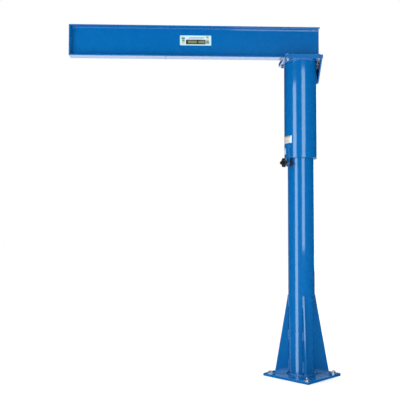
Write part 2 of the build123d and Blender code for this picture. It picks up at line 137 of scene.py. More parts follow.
def paint(name, broad_side=None, dust=0.04, waviness=0.0, wear_and_highlight=1.0, rounding=0.0012):
    """Gloss blue enamel. broad_side is the normal of a flame-cut plate's broad faces, whose
    edges then show the torch's drag lines; waviness is the lengthwise unevenness of a pipe;
    wear is the share of paler thin paint along the edges, which is also a painted highlight
    there, and of chips; the edges look eased by rounding."""
    material, tree, shader, place = start_material(name)
    tone = blend_colours(tree, grain(tree, place, 3.5, 4.0), PAINT_DEEP, PAINT_BLUE)
    geometry = add_node(tree, "ShaderNodeNewGeometry").outputs["Normal"]
    # Near each edge the blue turns paler: partly thinner paint, partly a painted highlight along the edge.
    # The same share places the chips.
    edges = arithmetic(tree, "MULTIPLY", edge_share(tree, 0.0022), wear_and_highlight)
    tone = blend_colours(tree, arithmetic(tree, "MULTIPLY", edges, 0.35), tone, PAINT_THIN_AND_HIGHLIGHT)
    chips = remap(tree, grain(tree, place, 160.0, 3.0), 0.66, 0.70)
    chips = arithmetic(tree, "MULTIPLY", chips, remap(tree, edges, 0.55, 0.95))
    tone = blend_colours(tree, chips, tone, PRIMER_GREY)
    upright = add_node(tree, "ShaderNodeSeparateXYZ", {0: geometry}).outputs[2]
    settled = arithmetic(tree, "MULTIPLY", remap(tree, upright, 0.75, 1.0), grain(tree, place, 40.0, 5.0))
    settled = arithmetic(tree, "MULTIPLY", settled, dust)
    tone = blend_colours(tree, settled, tone, SHOP_DUST)
    tree.links.new(tone, shader.inputs["Base Color"])
    smears = remap(tree, grain(tree, place, 14.0, 5.0), 0.30, 0.80, 0.24, 0.32)
    rough = arithmetic(tree, "ADD", smears, arithmetic(tree, "MULTIPLY", settled, 0.8))
    tree.links.new(arithmetic(tree, "ADD", rough, chips), shader.inputs["Roughness"])
    shader.inputs["IOR"].default_value = 1.5
    shader.inputs["Specular IOR Level"].default_value = 0.1
    shader.inputs["Coat Weight"].default_value = 1.0
    shader.inputs["Coat Roughness"].default_value = 0.07
    shader.inputs["Coat IOR"].default_value = 1.7
    peel = bump(tree, 0.22, 0.00006, grain(tree, place, 330.0, 2.0), eased(tree, rounding))
    if waviness:
        sway = grain(tree, place, 9.0, 1.0, (1.0, 1.0, 0.25))
        peel = bump(tree, 1.0, waviness, sway, peel)
    if broad_side:
        inputs = {0: geometry, 1: broad_side}
        facing = add_node(tree, "ShaderNodeVectorMath", inputs, operation="DOT_PRODUCT").outputs["Value"]
        facing = add_node(tree, "ShaderNodeMath", {0: facing}, operation="ABSOLUTE").outputs[0]
        cut = remap(tree, facing, 0.45, 0.15)
        across = tuple(1.0 - 0.96 * abs(part) for part in broad_side)
        drag = arithmetic(tree, "MULTIPLY", grain(tree, place, 620.0, 2.0, across), cut)
        peel = bump(tree, 0.7, 0.00015, drag, peel)
    tree.links.new(peel, shader.inputs["Normal"])
    tree.links.new(bump(tree, 0.5, 0.0001, chips, peel), shader.inputs["Coat Normal"])
    return material


def finish_cad(name, material):
    """Gives a carried-over CAD piece its material."""
    nodes[name].data.materials.clear()
    nodes[name].data.materials.append(material)


finish_cad("base_plate", paint("paint_base_plate", broad_side=(0.0, 0.0, 1.0), dust=0.015))
base_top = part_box("base_plate")[1].z
mast_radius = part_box("mast_tube")[1].x

# ------------------------------------------------------------
# Gussets: four tapered flame-cut plates on the base plate's diagonals, stitch-welded to the mast
# on both sides and along their feet. The corner over the mast's own weld is clipped away.
gussets = {}
for name in ("gusset_right", "gusset_back", "gusset_left", "gusset_front"):
    low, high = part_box(name)
    outward = Vector(((low.x + high.x) / 2, (low.y + high.y) / 2, 0)).normalized()
    sideways = Vector((-outward.y, outward.x, 0))
    corners = [vertex.co for vertex in nodes[name].data.vertices]
    gussets[name] = {
        "outward": outward,
        "sideways": sideways,
        "foot": max(corner.dot(outward) for corner in corners),
        "half": max(corner.dot(sideways) for corner in corners),
        "top": high.z,
        "clip_out": min(corner.dot(outward) for corner in corners if corner.z < base_top + 0.001),
        "clip_up": min(corner.z for corner in corners if corner.dot(outward) < mast_radius + 0.001),
    }
    finish_cad(name, paint("paint_" + name, broad_side=tuple(sideways)))


# Painted weld metal, laid in overlapping ripples by hand, follows each joint of the fabrication.
bead_paint = paint("paint_weld_beads", wear_and_highlight=0.2)
RIPPLE_PITCH = 0.0048
RING_SPACING = 0.0012
BEAD_COLUMNS = 7


def bead(path, side_a, side_b, leg, seed=0.0, closed=False):
    """Fillet weld along a path: the corner runs on the path, and its legs lie on two plates,
    away along side_a and side_b, which are functions of the place from 0 to 1 on the path."""
    points = [Vector(point) for point in path]
    if closed:
        points.append(points[0].copy())
    runs = [(b - a).length for a, b in zip(points, points[1:])]
    total = sum(runs)
    rings = max(6, int(total / RING_SPACING))
    verts, faces = [], []
    for ring in range(rings + 1):
        along = total * ring / rings
        rest, index = along, 0
        while index < len(runs) - 1 and rest > runs[index]:
            rest -= runs[index]
            index += 1
        corner = points[index].lerp(points[index + 1], min(1.0, rest / runs[index]))
        share = along / total
        a, b = side_a(share), side_b(share)
        outward = (a + b).normalized()
        to_end = leg if closed else min(along, total - along)
        swell = math.sqrt(max(0.02, 1 - (1 - min(1.0, to_end / leg)) ** 2))
        wander = 1 + 0.05 * math.sin(along * 210 + seed) + 0.04 * math.sin(along * 517 + 2 * seed)
        size = leg * swell * wander
        verts.append(corner - outward * 0.0004)
        for column in range(BEAD_COLUMNS):
            t = column / (BEAD_COLUMNS - 1)
            crown = math.sin(math.pi * t)
            ripple = 0.5 + 0.5 * math.cos(2 * math.pi * (along / RIPPLE_PITCH + 0.32 * crown))
            rise = size * crown * (0.15 + 0.10 * ripple**1.6)
            verts.append(corner + a * (size * (1 - t)) + b * (size * t) + outward * rise)
    per_ring = BEAD_COLUMNS + 1
    for ring in range(rings):
        for column in range(per_ring):
            one = ring * per_ring + column
            two = ring * per_ring + (column + 1) % per_ring
            faces.append((one, two, two + per_ring, one + per_ring))
    faces.append(tuple(range(per_ring))[::-1])
    faces.append(tuple(rings * per_ring + column for column in range(per_ring)))
    return verts, faces


def mesh_piece(name, parts, materials, body, sharp_angle=32.0, chosen=None):
    """One visible piece from a list of (vertices, faces); chosen gives each face's material."""
    verts, faces = [], []
    for part_verts, part_faces in parts:
        start = len(verts)
        verts += [tuple(vertex) for vertex in part_verts]
        faces += [tuple(start + index for index in face) for face in part_faces]
    mesh = bpy.data.meshes.new(name)
    mesh.from_pydata(verts, [], faces)
    for material in materials:
        mesh.materials.append(material)
    if chosen:
        mesh.polygons.foreach_set("material_index", chosen)
    mesh.polygons.foreach_set("use_smooth", [True] * len(mesh.polygons))
    mesh.set_sharp_from_angle(angle=math.radians(sharp_angle))
    mesh.validate()
    piece = bpy.data.objects.new(name, mesh)
    scene.collection.objects.link(piece)
    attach(piece, body)
    return piece


def ring_path(radius, height, sides=180):
    """Points round a level circle on the mast's axis."""
    turns = [2 * math.pi * step / sides for step in range(sides)]
    return [(radius * math.cos(turn), radius * math.sin(turn), height) for turn in turns]


def outward_at(share):
    """Level direction away from the mast's axis at a share of a full turn."""
    return Vector((math.cos(2 * math.pi * share), math.sin(2 * math.pi * share), 0))


def always(direction):
    """The same direction all along a bead."""
    return lambda share: Vector(direction)


BASE_BEAD = 0.008
GUSSET_BEAD = 0.0065
up = Vector((0, 0, 1))
base_beads = [bead(ring_path(mast_radius, base_top), always(up), outward_at, BASE_BEAD, closed=True)]
for number, gusset in enumerate(gussets.values()):
    outward, sideways, half = gusset["outward"], gusset["sideways"], gusset["half"]
    on_mast = math.sqrt(mast_radius**2 - half**2)
    stitches = (
        (gusset["clip_up"] + 0.004, gusset["clip_up"] + 0.094),
        (gusset["clip_up"] + 0.260, gusset["clip_up"] + 0.340),
        (gusset["top"] - 0.100, gusset["top"] - 0.002),
    )
    for side in (1, -1):
        face = sideways * (side * half)
        for order, (start, end) in enumerate(stitches):
            line = [outward * on_mast + face + up * start, outward * on_mast + face + up * end]
            seed = number * 3.1 + side + order
            base_beads.append(bead(line, always(outward), always(sideways * side), GUSSET_BEAD, seed))
        foot = [
            outward * (gusset["clip_out"] + 0.003) + face + up * base_top,
            outward * (gusset["foot"] - 0.001) + face + up * base_top,
        ]
        base_beads.append(bead(foot, always(up), always(sideways * side), GUSSET_BEAD, number + side))
    ends = ((gusset["foot"], base_top, GUSSET_BEAD), (mast_radius, gusset["top"], 0.0038))
    for reach, height, leg in ends:
        corner = outward * reach + up * height
        line = [corner - sideways * (half + 0.003), corner + sideways * (half + 0.003)]
        base_beads.append(bead(line, always(up), always(outward), leg, number))
mesh_piece("base_weld_beads", base_beads, [bead_paint], "mast", 70.0)

# ------------------------------------------------------------
# Floor anchors: zinc-plated wedge anchors in drilled holes. Rolled thread from the floor up, a
# hex nut on a flat washer over the plate, and a split clip on the coned end down in the floor.


def skin(rings, closed=True):
    """Joins rings of points, given from the bottom up on the outside; open ends get flat caps."""
    count = len(rings[0])
    verts = [point for ring in rings for point in ring]
    faces = []
    for row in range(len(rings) if closed else len(rings) - 1):
        low, high = row * count, (row + 1) % len(rings) * count
        for column in range(count):
            beside = (column + 1) % count
            faces.append((low + column, low + beside, high + beside, high + column))
    if not closed:
        faces.append(tuple(range(count))[::-1])
        faces.append(tuple(len(verts) - count + column for column in range(count)))
    return verts, faces


def lathe(profile, sides=64, closed=True):
    """Turned solid about Z from (radius, height) points."""
    turns = [2 * math.pi * step / sides for step in range(sides)]
    rings = [[(r * math.cos(turn), r * math.sin(turn), z) for turn in turns] for r, z in profile]
    return skin(rings, closed)


def moved(part, matrix):
    """The same vertices and faces in another place."""
    return [matrix @ Vector(point) for point in part[0]], part[1]


def hex_solid(flats, bottom, top, bore=0.0, chamfered=(True, True)):
    """Hexagon about Z with its corners turned off at 30 degrees, and a countersunk bore."""
    corner_circle = 0.95 * flats / 2
    rings = []
    for height, direction, turned in ((bottom, 1, chamfered[0]), (top, -1, chamfered[1])):
        inner, middle, outer = [], [], []
        for step in range(60):
            turn = 2 * math.pi * step / 60
            reach = flats / 2 / math.cos((turn + math.pi / 6) % (math.pi / 3) - math.pi / 6)
            drop = (reach - corner_circle) * math.tan(math.pi / 6) if turned else 0.0002
            level = height + direction * drop
            edge = corner_circle if turned else reach - 0.0002
            inner.append((bore + 0.0009, turn, height))
            middle.append((edge, turn, height))
            outer.append((reach, turn, level))
        group = [inner, middle, outer] if bore else [middle, outer]
        rings += group if direction == 1 else group[::-1]
    if bore:
        turns = [2 * math.pi * step / 60 for step in range(60)]
        rings.append([(bore, turn, top - 0.0009) for turn in turns])
        rings.append([(bore, turn, bottom + 0.0009) for turn in turns])
    shaped = [[(r * math.cos(t), r * math.sin(t), z) for r, t, z in ring] for ring in rings]
    return skin(shaped, closed=bool(bore))


def threaded_rod(radius, pitch, start, end, sides=36, tip=0.0014):
    """Right-hand 60 degree thread about Z, cut square at both ends and chamfered at the top."""
    profile = ((0.0, 0.0), (0.13, 0.0), (0.48, 1.0), (0.65, 1.0))
    depth = 0.60 * pitch
    steps = int((end - start) / pitch + 2) * sides
    grid = []
    mesh = bmesh.new()
    for step in range(steps + sides + 1):
        turn = 2 * math.pi * step / sides
        row = []
        for share, cut in profile:
            height = start + pitch * (step / sides - 1 + share)
            reach = min(radius - depth * cut, radius - tip + max(0.0, end - height))
            row.append(mesh.verts.new((reach * math.cos(turn), reach * math.sin(turn), height)))
        grid.append(row)
    for step in range(steps):
        for column in range(4):
            if column < 3:
                upper = (grid[step][column + 1], grid[step + 1][column + 1])
            else:
                upper = (grid[step + sides][0], grid[step + 1 + sides][0])
            mesh.faces.new((grid[step][column], grid[step + 1][column], upper[1], upper[0]))
    for height, normal in ((start, (0, 0, -1)), (end, (0, 0, 1))):
        whole = mesh.verts[:] + mesh.edges[:] + mesh.faces[:]
        spot = (0, 0, height)
        bmesh.ops.bisect_plane(mesh, geom=whole, plane_co=spot, plane_no=normal, clear_outer=True)
    loose = [vertex for vertex in mesh.verts if not vertex.link_faces]
    bmesh.ops.delete(mesh, geom=loose, context="VERTS")
    rim = [edge for edge in mesh.edges if edge.is_boundary]
    bmesh.ops.holes_fill(mesh, edges=rim, sides=0)
    bmesh.ops.recalc_face_normals(mesh, faces=mesh.faces[:])
    mesh.verts.index_update()
    verts = [tuple(vertex.co) for vertex in mesh.verts]
    faces = [tuple(vertex.index for vertex in face.verts) for face in mesh.faces]
    mesh.free()
    return verts, faces


def zinc_plate(name, yellow=0.25):
    """Bright zinc plating on rolled or pressed steel, clouded by handling and a little damp."""
    material, tree, shader, place = start_material(name)
    cloud = grain(tree, place, 110.0, 4.0)
    tone = blend_colours(tree, cloud, (0.60, 0.63, 0.66, 1), (0.82, 0.83, 0.83, 1))
    stain = remap(tree, grain(tree, place, 60.0, 6.0), 0.52, 0.72)
    tone = blend_colours(tree, arithmetic(tree, "MULTIPLY", stain, yellow), tone, (0.62, 0.58, 0.46, 1))
    rubbed = edge_share(tree, 0.0006)
    tone = blend_colours(tree, arithmetic(tree, "MULTIPLY", rubbed, 0.6), tone, (0.90, 0.91, 0.92, 1))
    tree.links.new(tone, shader.inputs["Base Color"])
    rough = remap(tree, cloud, 0.3, 0.7, 0.24, 0.42)
    rough = arithmetic(tree, "ADD", rough, arithmetic(tree, "MULTIPLY", stain, 0.18))
    tree.links.new(rough, shader.inputs["Roughness"])
    shader.inputs["Metallic"].default_value = 1.0
    frosting = bump(tree, 0.35, 0.00005, grain(tree, place, 1400.0, 3.0), eased(tree, 0.0004))
    tree.links.new(frosting, shader.inputs["Normal"])
    return material


ANCHOR_PITCH = 0.00254
ANCHOR_HEX = 0.0286
ANCHOR_THREAD = 0.0094
ANCHOR_WAIST = 0.0075
ANCHOR_THREAD_END = 0.0
anchor_mount = next(mount for mount in frame["record"]["mounts"] if mount["name"] == "floor_anchors")
anchor_reach = anchor_mount["dims"]["pcd_mm"] / 2000
anchor_radius = anchor_mount["dims"]["stud_r_mm"] / 1000
anchor_places = [gusset["outward"] * anchor_reach for gusset in gussets.values()]
stud_low, stud_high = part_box("anchor_studs")
washer_low, washer_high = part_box("anchor_washers")
nut_low, nut_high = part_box("anchor_nuts")
clip_low, clip_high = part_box("anchor_clips")
anchor_zinc = zinc_plate("zinc_anchors", yellow=0.35)
studs, washers, nuts = [], [], []
for number, spot in enumerate(anchor_places):
    turn = Matrix.Translation(spot) @ Matrix.Rotation(math.atan2(spot.y, spot.x) + 0.35 * number, 4, "Z")
    shank = lathe(
        [
            (anchor_radius - 0.0006, stud_low.z),
            (anchor_radius, stud_low.z + 0.0008),
            (ANCHOR_WAIST, clip_low.z - 0.001),
            (ANCHOR_WAIST, clip_high.z + 0.001),
            (anchor_radius, clip_high.z + 0.0025),
            (anchor_radius, ANCHOR_THREAD_END - 0.001),
            (0.0078, ANCHOR_THREAD_END + 0.0005),
        ],
        closed=False,
    )
    studs.append(moved(shank, turn))
    studs.append(moved(threaded_rod(ANCHOR_THREAD, ANCHOR_PITCH, ANCHOR_THREAD_END, stud_high.z), turn))
    washer = [
        (0.0103, washer_low.z),
        (0.0251, washer_low.z),
        (0.0254, washer_low.z + 0.0003),
        (0.0254, washer_high.z - 0.0007),
        (0.0247, washer_high.z),
        (0.0108, washer_high.z),
        (0.0103, washer_high.z - 0.0005),
    ]
    washers.append(moved(lathe(washer), turn))
    nuts.append(moved(hex_solid(ANCHOR_HEX, nut_low.z, nut_high.z, bore=0.0090), turn))
for name, parts in (("anchor_studs", studs), ("anchor_washers", washers), ("anchor_nuts", nuts)):
    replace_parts(mesh_piece(name + "_plated", parts, [anchor_zinc], "mast"), name)
finish_cad("anchor_clips", zinc_plate("zinc_clips"))

# ------------------------------------------------------------
# Mast: 8 inch schedule 40 steel pipe, welded on the base plate and standing inside the gussets.
# A plate welded over its top carries the spindle. The paint shows the pipe's slight unevenness.
MAST_WALL = 0.00818
mast_low, mast_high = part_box("mast_tube")
mast_profile = [
    (mast_radius - MAST_WALL, mast_low.z),
    (mast_radius - 0.001, mast_low.z),
    (mast_radius, mast_low.z + 0.001),
    (mast_radius, mast_low.z + 0.003),
    (mast_radius, mast_high.z - 0.003),
    (mast_radius, mast_high.z - 0.001),
    (mast_radius - 0.001, mast_high.z),
    (mast_radius - MAST_WALL, mast_high.z),
]
mast_paint = paint("paint_mast", waviness=0.0006)
mast = mesh_piece("mast_pipe", [lathe(mast_profile, 256)], [mast_paint], "mast")
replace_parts(mast, "mast_tube")

# ------------------------------------------------------------
# Spindle and tapered roller bearing: turned steel spindle, ground bearing steel rings and rollers
# in a brass cage, packed with grease and hidden between the mast's cap and the sleeve's head.


def turned_steel(name, colour, roughness, groove):
    """Bare machined steel: tool rings run round the mast's axis under a thin film of grease."""
    material, tree, shader, place = start_material(name)
    flat = add_node(tree, "ShaderNodeVectorMath", {0: place, 1: (1, 1, 0)}, operation="MULTIPLY").outputs[0]
    reach = add_node(tree, "ShaderNodeVectorMath", {0: flat}, operation="LENGTH").outputs["Value"]
    height = add_node(tree, "ShaderNodeSeparateXYZ", {0: place}).outputs[2]
    section = add_node(tree, "ShaderNodeCombineXYZ", {0: reach, 2: height}).outputs[0]
    rings = grain(tree, section, 1600.0, 2.0)
    cloud = grain(tree, place, 70.0, 4.0)
    darker = tuple(part * 0.72 for part in colour[:3]) + (1,)
    tone = blend_colours(tree, cloud, darker, colour)
    tone = blend_colours(tree, arithmetic(tree, "MULTIPLY", rings, 0.35), tone, darker)
    tree.links.new(tone, shader.inputs["Base Color"])
    rough = remap(tree, cloud, 0.3, 0.7, roughness * 0.8, roughness * 1.3)
    tree.links.new(rough, shader.inputs["Roughness"])
    shader.inputs["Metallic"].default_value = 1.0
    shader.inputs["Anisotropic"].default_value = 0.4
    tree.links.new(bump(tree, 0.6, groove, rings, eased(tree, 0.0005)), shader.inputs["Normal"])
    return material


finish_cad("mast_cap", turned_steel("turned_mast_cap", (0.40, 0.40, 0.39, 1), 0.40, 0.00008))
finish_cad("spindle", turned_steel("turned_spindle", (0.50, 0.50, 0.49, 1), 0.32, 0.00006))
ground = turned_steel("ground_bearing_steel", (0.62, 0.63, 0.64, 1), 0.16, 0.00001)
for name in ("bearing_cone", "bearing_rollers", "bearing_cup"):
    finish_cad(name, ground)
finish_cad("bearing_cage", turned_steel("drawn_brass", (0.66, 0.47, 0.18, 1), 0.30, 0.00003))

# ------------------------------------------------------------
# Sleeve: 10 inch steel pipe that turns on the mast, welded to the head plate above. A black
# nylon bush guides it at its lower end, and a turned ring under the head plate holds the bearing.
SLEEVE_WALL = 0.00927
sleeve_low, sleeve_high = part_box("sleeve_tube")
sleeve_radius = sleeve_high.x
sleeve_profile = [
    (sleeve_radius - SLEEVE_WALL + 0.0008, sleeve_low.z),
    (sleeve_radius - 0.0016, sleeve_low.z),
    (sleeve_radius - 0.0005, sleeve_low.z + 0.0005),
    (sleeve_radius, sleeve_low.z + 0.0016),
    (sleeve_radius, sleeve_low.z + 0.0036),
    (sleeve_radius, sleeve_high.z - 0.002),
    (sleeve_radius, sleeve_high.z),
    (sleeve_radius - SLEEVE_WALL, sleeve_high.z),
    (sleeve_radius - SLEEVE_WALL, sleeve_low.z + 0.0008),
]
sleeve_paint = paint("paint_sleeve", waviness=0.0006)
sleeve = mesh_piece("sleeve_pipe", [lathe(sleeve_profile, 256)], [sleeve_paint], "boom")
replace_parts(sleeve, "sleeve_tube")


def moulded(name, colour, roughness, texture, texture_scale, dust=0.25):
    """Black plastic or rubber: a moulded texture, scuffed edges and a little dust on top."""
    material, tree, shader, place = start_material(name)
    scuffs = remap(tree, grain(tree, place, 120.0, 6.0), 0.52, 0.70)
    paler = tuple(min(1.0, part * 2.6 + 0.01) for part in colour[:3]) + (1,)
    worn = arithmetic(tree, "MAXIMUM", arithmetic(tree, "MULTIPLY", scuffs, 0.45), edge_share(tree, 0.0008))
    tone = blend_colours(tree, arithmetic(tree, "MULTIPLY", worn, 0.6), colour, paler)
    geometry = add_node(tree, "ShaderNodeNewGeometry").outputs["Normal"]
    upright = add_node(tree, "ShaderNodeSeparateXYZ", {0: geometry}).outputs[2]
    settled = arithmetic(tree, "MULTIPLY", remap(tree, upright, 0.4, 1.0), grain(tree, place, 90.0, 5.0))
    tone = blend_colours(tree, arithmetic(tree, "MULTIPLY", settled, dust), tone, SHOP_DUST)
    tree.links.new(tone, shader.inputs["Base Color"])
    rough = arithmetic(tree, "ADD", arithmetic(tree, "MULTIPLY", worn, 0.2), roughness)
    tree.links.new(rough, shader.inputs["Roughness"])
    lumps = grain(tree, place, texture_scale, 2.0)
    tree.links.new(bump(tree, 0.6, texture, lumps, eased(tree, 0.0006)), shader.inputs["Normal"])
    return material


finish_cad("lower_bush", moulded("nylon_bush", (0.022, 0.022, 0.024, 1), 0.42, 0.00003, 900.0))
finish_cad("bearing_housing", turned_steel("turned_housing", (0.44, 0.44, 0.43, 1), 0.38, 0.00008))

# ------------------------------------------------------------
# Head: two square flame-cut plates, the lower welded on the sleeve and the upper under the boom,
# held together by a zinc-plated hex bolt, washer and nut near each corner.
head_paint = paint("paint_head_plates", broad_side=(0.0, 0.0, 1.0), dust=0.03)
finish_cad("head_plate", head_paint)
finish_cad("saddle_plate", head_paint)

BOLT_PITCH = 0.002309
BOLT_RADIUS = 0.0079375
bolt_low, bolt_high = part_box("head_bolts")
plate_low, plate_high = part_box("head_plate")[0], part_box("saddle_plate")[1]
head_washer_low, head_washer_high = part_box("head_washers")
head_nut_low, head_nut_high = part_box("head_nuts")
bolt_reach = head_washer_high.x - 0.01665
HEAD_HEX = 0.0238
head_zinc = zinc_plate("zinc_head_bolts", yellow=0.05)
bolts, head_washers, head_nuts = [], [], []
for number, (x, y) in enumerate(((1, 1), (-1, 1), (-1, -1), (1, -1))):
    spot = Matrix.Translation((x * bolt_reach, y * bolt_reach, 0))
    over = spot @ Matrix.Rotation(0.2 + 0.9 * number, 4, "Z")
    under = spot @ Matrix.Rotation(0.1 + 0.7 * number, 4, "Z")
    bolts.append(moved(hex_solid(HEAD_HEX, plate_high.z, bolt_high.z, chamfered=(False, True)), over))
    shank = [(BOLT_RADIUS, plate_low.z + 0.002), (BOLT_RADIUS, plate_high.z + 0.0002)]
    bolts.append(moved(lathe(shank, 48, closed=False), over))
    upside_down = Matrix.Translation((0, 0, bolt_low.z)) @ Matrix.Rotation(math.pi, 4, "X")
    thread = threaded_rod(BOLT_RADIUS, BOLT_PITCH, bolt_low.z - plate_low.z - 0.002, 0.0)
    bolts.append(moved(moved(thread, upside_down), under))
    washer = [
        (0.0084, head_washer_low.z + 0.0004),
        (0.0089, head_washer_low.z),
        (0.0160, head_washer_low.z),
        (0.01665, head_washer_low.z + 0.0006),
        (0.01665, head_washer_high.z - 0.0003),
        (0.0163, head_washer_high.z),
        (0.0084, head_washer_high.z),
    ]
    head_washers.append(moved(lathe(washer, 48), under))
    head_nuts.append(moved(hex_solid(HEAD_HEX, head_nut_low.z, head_nut_high.z, bore=0.0075), under))
for name, parts in (("head_bolts", bolts), ("head_washers", head_washers), ("head_nuts", head_nuts)):
    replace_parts(mesh_piece(name + "_plated", parts, [head_zinc], "boom"), name)

# ------------------------------------------------------------
# Rear brace: a flame-cut plate, wide at the head plate's back edge and tapering down the sleeve.
# Welded under the head plate and round its foot. The sleeve's own top weld is a full ring.
brace_low, brace_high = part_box("rear_brace")
BRACE_THICKNESS = 0.009525
BRACE_FOOT = 0.045
BRACE_WELD_RISE = 0.075
lean = math.atan2(brace_high.x - sleeve_radius - BRACE_THICKNESS, brace_high.z - brace_low.z)
brace_outward = Vector((math.cos(lean), 0, -math.sin(lean)))
finish_cad("rear_brace", paint("paint_rear_brace", broad_side=tuple(brace_outward)))
down = Vector((0, 0, -1))
sleeve_ring = ring_path(sleeve_radius, plate_low.z)[::-1]
head_beads = [bead(sleeve_ring, always(down), lambda share: outward_at(1 - share), 0.007, closed=True)]
inside_x = brace_high.x - BRACE_THICKNESS / math.cos(lean)
brace_top = [Vector((inside_x, side * (brace_high.y - 0.004), plate_low.z)) for side in (-1, 1)]
slope = Vector((-math.sin(lean), 0, -math.cos(lean)))
head_beads.append(bead(brace_top, always(slope), always((-1, 0, 0)), 0.006, 1.0))
for side in (-1, 1):
    foot_line = []
    for step in range(13):
        rise = BRACE_WELD_RISE * step / 12
        width = BRACE_FOOT + rise * (brace_high.y - BRACE_FOOT) / (brace_high.z - brace_low.z)
        foot_line.append(Vector((math.sqrt(sleeve_radius**2 - width**2), side * width, brace_low.z + rise)))
    away = Vector((0, side, 0))
    head_beads.append(bead(foot_line, always((1, 0, 0)), always(away), 0.0075, 2.0 + side))
foot_arc = []
for step in range(25):
    y = BRACE_FOOT * (step / 12 - 1)
    foot_arc.append(Vector((math.sqrt(sleeve_radius**2 - y**2), y, brace_low.z + 0.002)))
head_beads.append(bead(foot_arc, always((1, 0, 0)), always(down), 0.0065, 4.0))
mesh_piece("head_weld_beads", head_beads, [bead_paint], "boom", 70.0)

# ------------------------------------------------------------
# Boom: a rolled steel I-beam on its saddle plate, with two drilled holes in the bottom flange
# and a plate welded over its free end. Stitch welds run between the flange and the saddle.
finish_cad("boom_beam", paint("paint_boom", dust=0.06))
finish_cad("boom_end_plate", paint("paint_boom_end_plate", wear_and_highlight=0.3, rounding=0.0005))
FLANGE = 0.0100
WEB_HALF = 0.003175
ROOT = 0.0076
SADDLE_STITCH_PITCH = 0.100
SADDLE_STITCH_HALF = 0.035
END_BEAD = 0.004
beam_low, beam_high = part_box("boom_beam")
boom_beads = []
for side in (-1, 1):
    for order, middle in enumerate((-SADDLE_STITCH_PITCH, 0.0, SADDLE_STITCH_PITCH)):
        ends = (middle - SADDLE_STITCH_HALF, middle + SADDLE_STITCH_HALF)
        line = [Vector((end, side * beam_high.y, beam_low.z)) for end in ends]
        boom_beads.append(bead(line, always(up), always((0, side, 0)), 0.0075, side + order))
    inner_low, inner_high = beam_low.z + FLANGE, beam_high.z - FLANGE
    line = [Vector((beam_low.x, side * WEB_HALF, z)) for z in (inner_low + ROOT, inner_high - ROOT)]
    boom_beads.append(bead(line, always((1, 0, 0)), always((0, side, 0)), END_BEAD, 5.0 + side))
    for z, inward in ((inner_low, up), (inner_high, down)):
        line = [Vector((beam_low.x, side * y, z)) for y in (WEB_HALF + ROOT, beam_high.y - 0.002)]
        boom_beads.append(bead(line, always((1, 0, 0)), always(inward), END_BEAD, 8.0 + side))
mesh_piece("boom_weld_beads", boom_beads, [bead_paint], "boom", 70.0)

# ------------------------------------------------------------
# Rotation lock: a flat bar welded down the sleeve, with a hex boss that a zinc-plated screw runs
# in. The screw presses a rubber-faced steel pad on the mast when its four-lobed knob is turned.
# The bar is tacked by short welds at both ends, and the boss is a plain plated nut.
pad_low, pad_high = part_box("lock_pad")
lock_centre = (pad_low + pad_high) / 2
lock_out = Vector((lock_centre.x, lock_centre.y, 0)).normalized()
lock_side = Vector((-lock_out.y, lock_out.x, 0))
lock_axes = Matrix((lock_side, up, lock_out)).transposed().to_4x4()
lock_place = Matrix.Translation((0, 0, lock_centre.z)) @ lock_axes


def lock_span(name):
    """Nearest and farthest reach of a CAD piece from the mast's axis, along the lock screw."""
    reaches = [vertex.co.dot(lock_out) for vertex in nodes[name].data.vertices]
    return min(reaches), max(reaches)


finish_cad("lock_bar", paint("paint_lock_bar", broad_side=tuple(lock_out)))
finish_cad("lock_boss", zinc_plate("zinc_lock_boss", yellow=0.1))
bar_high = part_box("lock_bar")[1]
bar_face = lock_span("lock_bar")[1]
BAR_HALF = 0.015875
BAR_BEAD = 0.0045
BOSS_HALF = 0.0111
BOSS_BEAD = 0.0032
lock_beads = []
along_sleeve = math.sqrt(sleeve_radius**2 - BAR_HALF**2)
for side in (-1, 1):
    edge = lock_out * along_sleeve + lock_side * (side * BAR_HALF)
    for start, run in ((sleeve_low.z + 0.002, 0.018), (bar_high.z - 0.020, 0.019)):
        line = [edge + up * start, edge + up * (start + run)]
        away = always(lock_side * side)
        lock_beads.append(bead(line, always(lock_out), away, BAR_BEAD, 1.5 * side + start))
over_bar = [lock_out * sleeve_radius + lock_side * (side * BAR_HALF) + up * bar_high.z for side in (-1, 1)]
lock_beads.append(bead(over_bar, always(lock_out), always(up), BAR_BEAD, 3.0))
boss_ring = []
for step in range(48):
    turn = 2 * math.pi * step / 48
    reach = BOSS_HALF / math.cos((turn + math.pi / 6) % (math.pi / 3) - math.pi / 6)
    boss_ring.append(lock_place @ Vector((reach * math.cos(turn), reach * math.sin(turn), bar_face)))


def from_boss(share):
    """Direction away from the boss's axis, across the bar's face."""
    return lock_side * math.cos(2 * math.pi * share) + up * math.sin(2 * math.pi * share)


lock_beads.append(bead(boss_ring, always(lock_out), from_boss, BOSS_BEAD, 2.0, closed=True))
mesh_piece("lock_weld_beads", lock_beads, [bead_paint], "boom", 70.0)

SCREW_PITCH = 0.0019538
SCREW_RADIUS = 0.00635
TIP_RADIUS = 0.0040
tip_start, screw_end = lock_span("lock_screw")
pad_start, pad_end = lock_span("lock_pad")
nut_start, nut_end = lock_span("lock_jam_nut")
knob_start, knob_end = lock_span("lock_knob")
tip = [(TIP_RADIUS - 0.0004, tip_start), (TIP_RADIUS, tip_start + 0.0004), (TIP_RADIUS, pad_end + 0.0006)]
collar = [
    (TIP_RADIUS, pad_end + 0.0004),
    (SCREW_RADIUS - 0.0009, pad_end + 0.0004),
    (SCREW_RADIUS - 0.0009, pad_end + 0.0032),
]
screw = [lathe(tip, 32, closed=False), lathe(collar, 32, closed=False)]
screw.append(threaded_rod(SCREW_RADIUS, SCREW_PITCH, pad_end + 0.003, screw_end, tip=0.001))
lock_zinc = zinc_plate("zinc_lock_screw", yellow=0.15)
screw = [moved(part, lock_place) for part in screw]
screw = mesh_piece("lock_screw_plated", screw, [lock_zinc], "lock_screw")
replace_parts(screw, "lock_screw")
jam_nut = moved(hex_solid(0.01905, nut_start, nut_end, bore=0.0058), lock_place)
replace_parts(mesh_piece("lock_jam_nut_plated", [jam_nut], [lock_zinc], "lock_screw"), "lock_jam_nut")

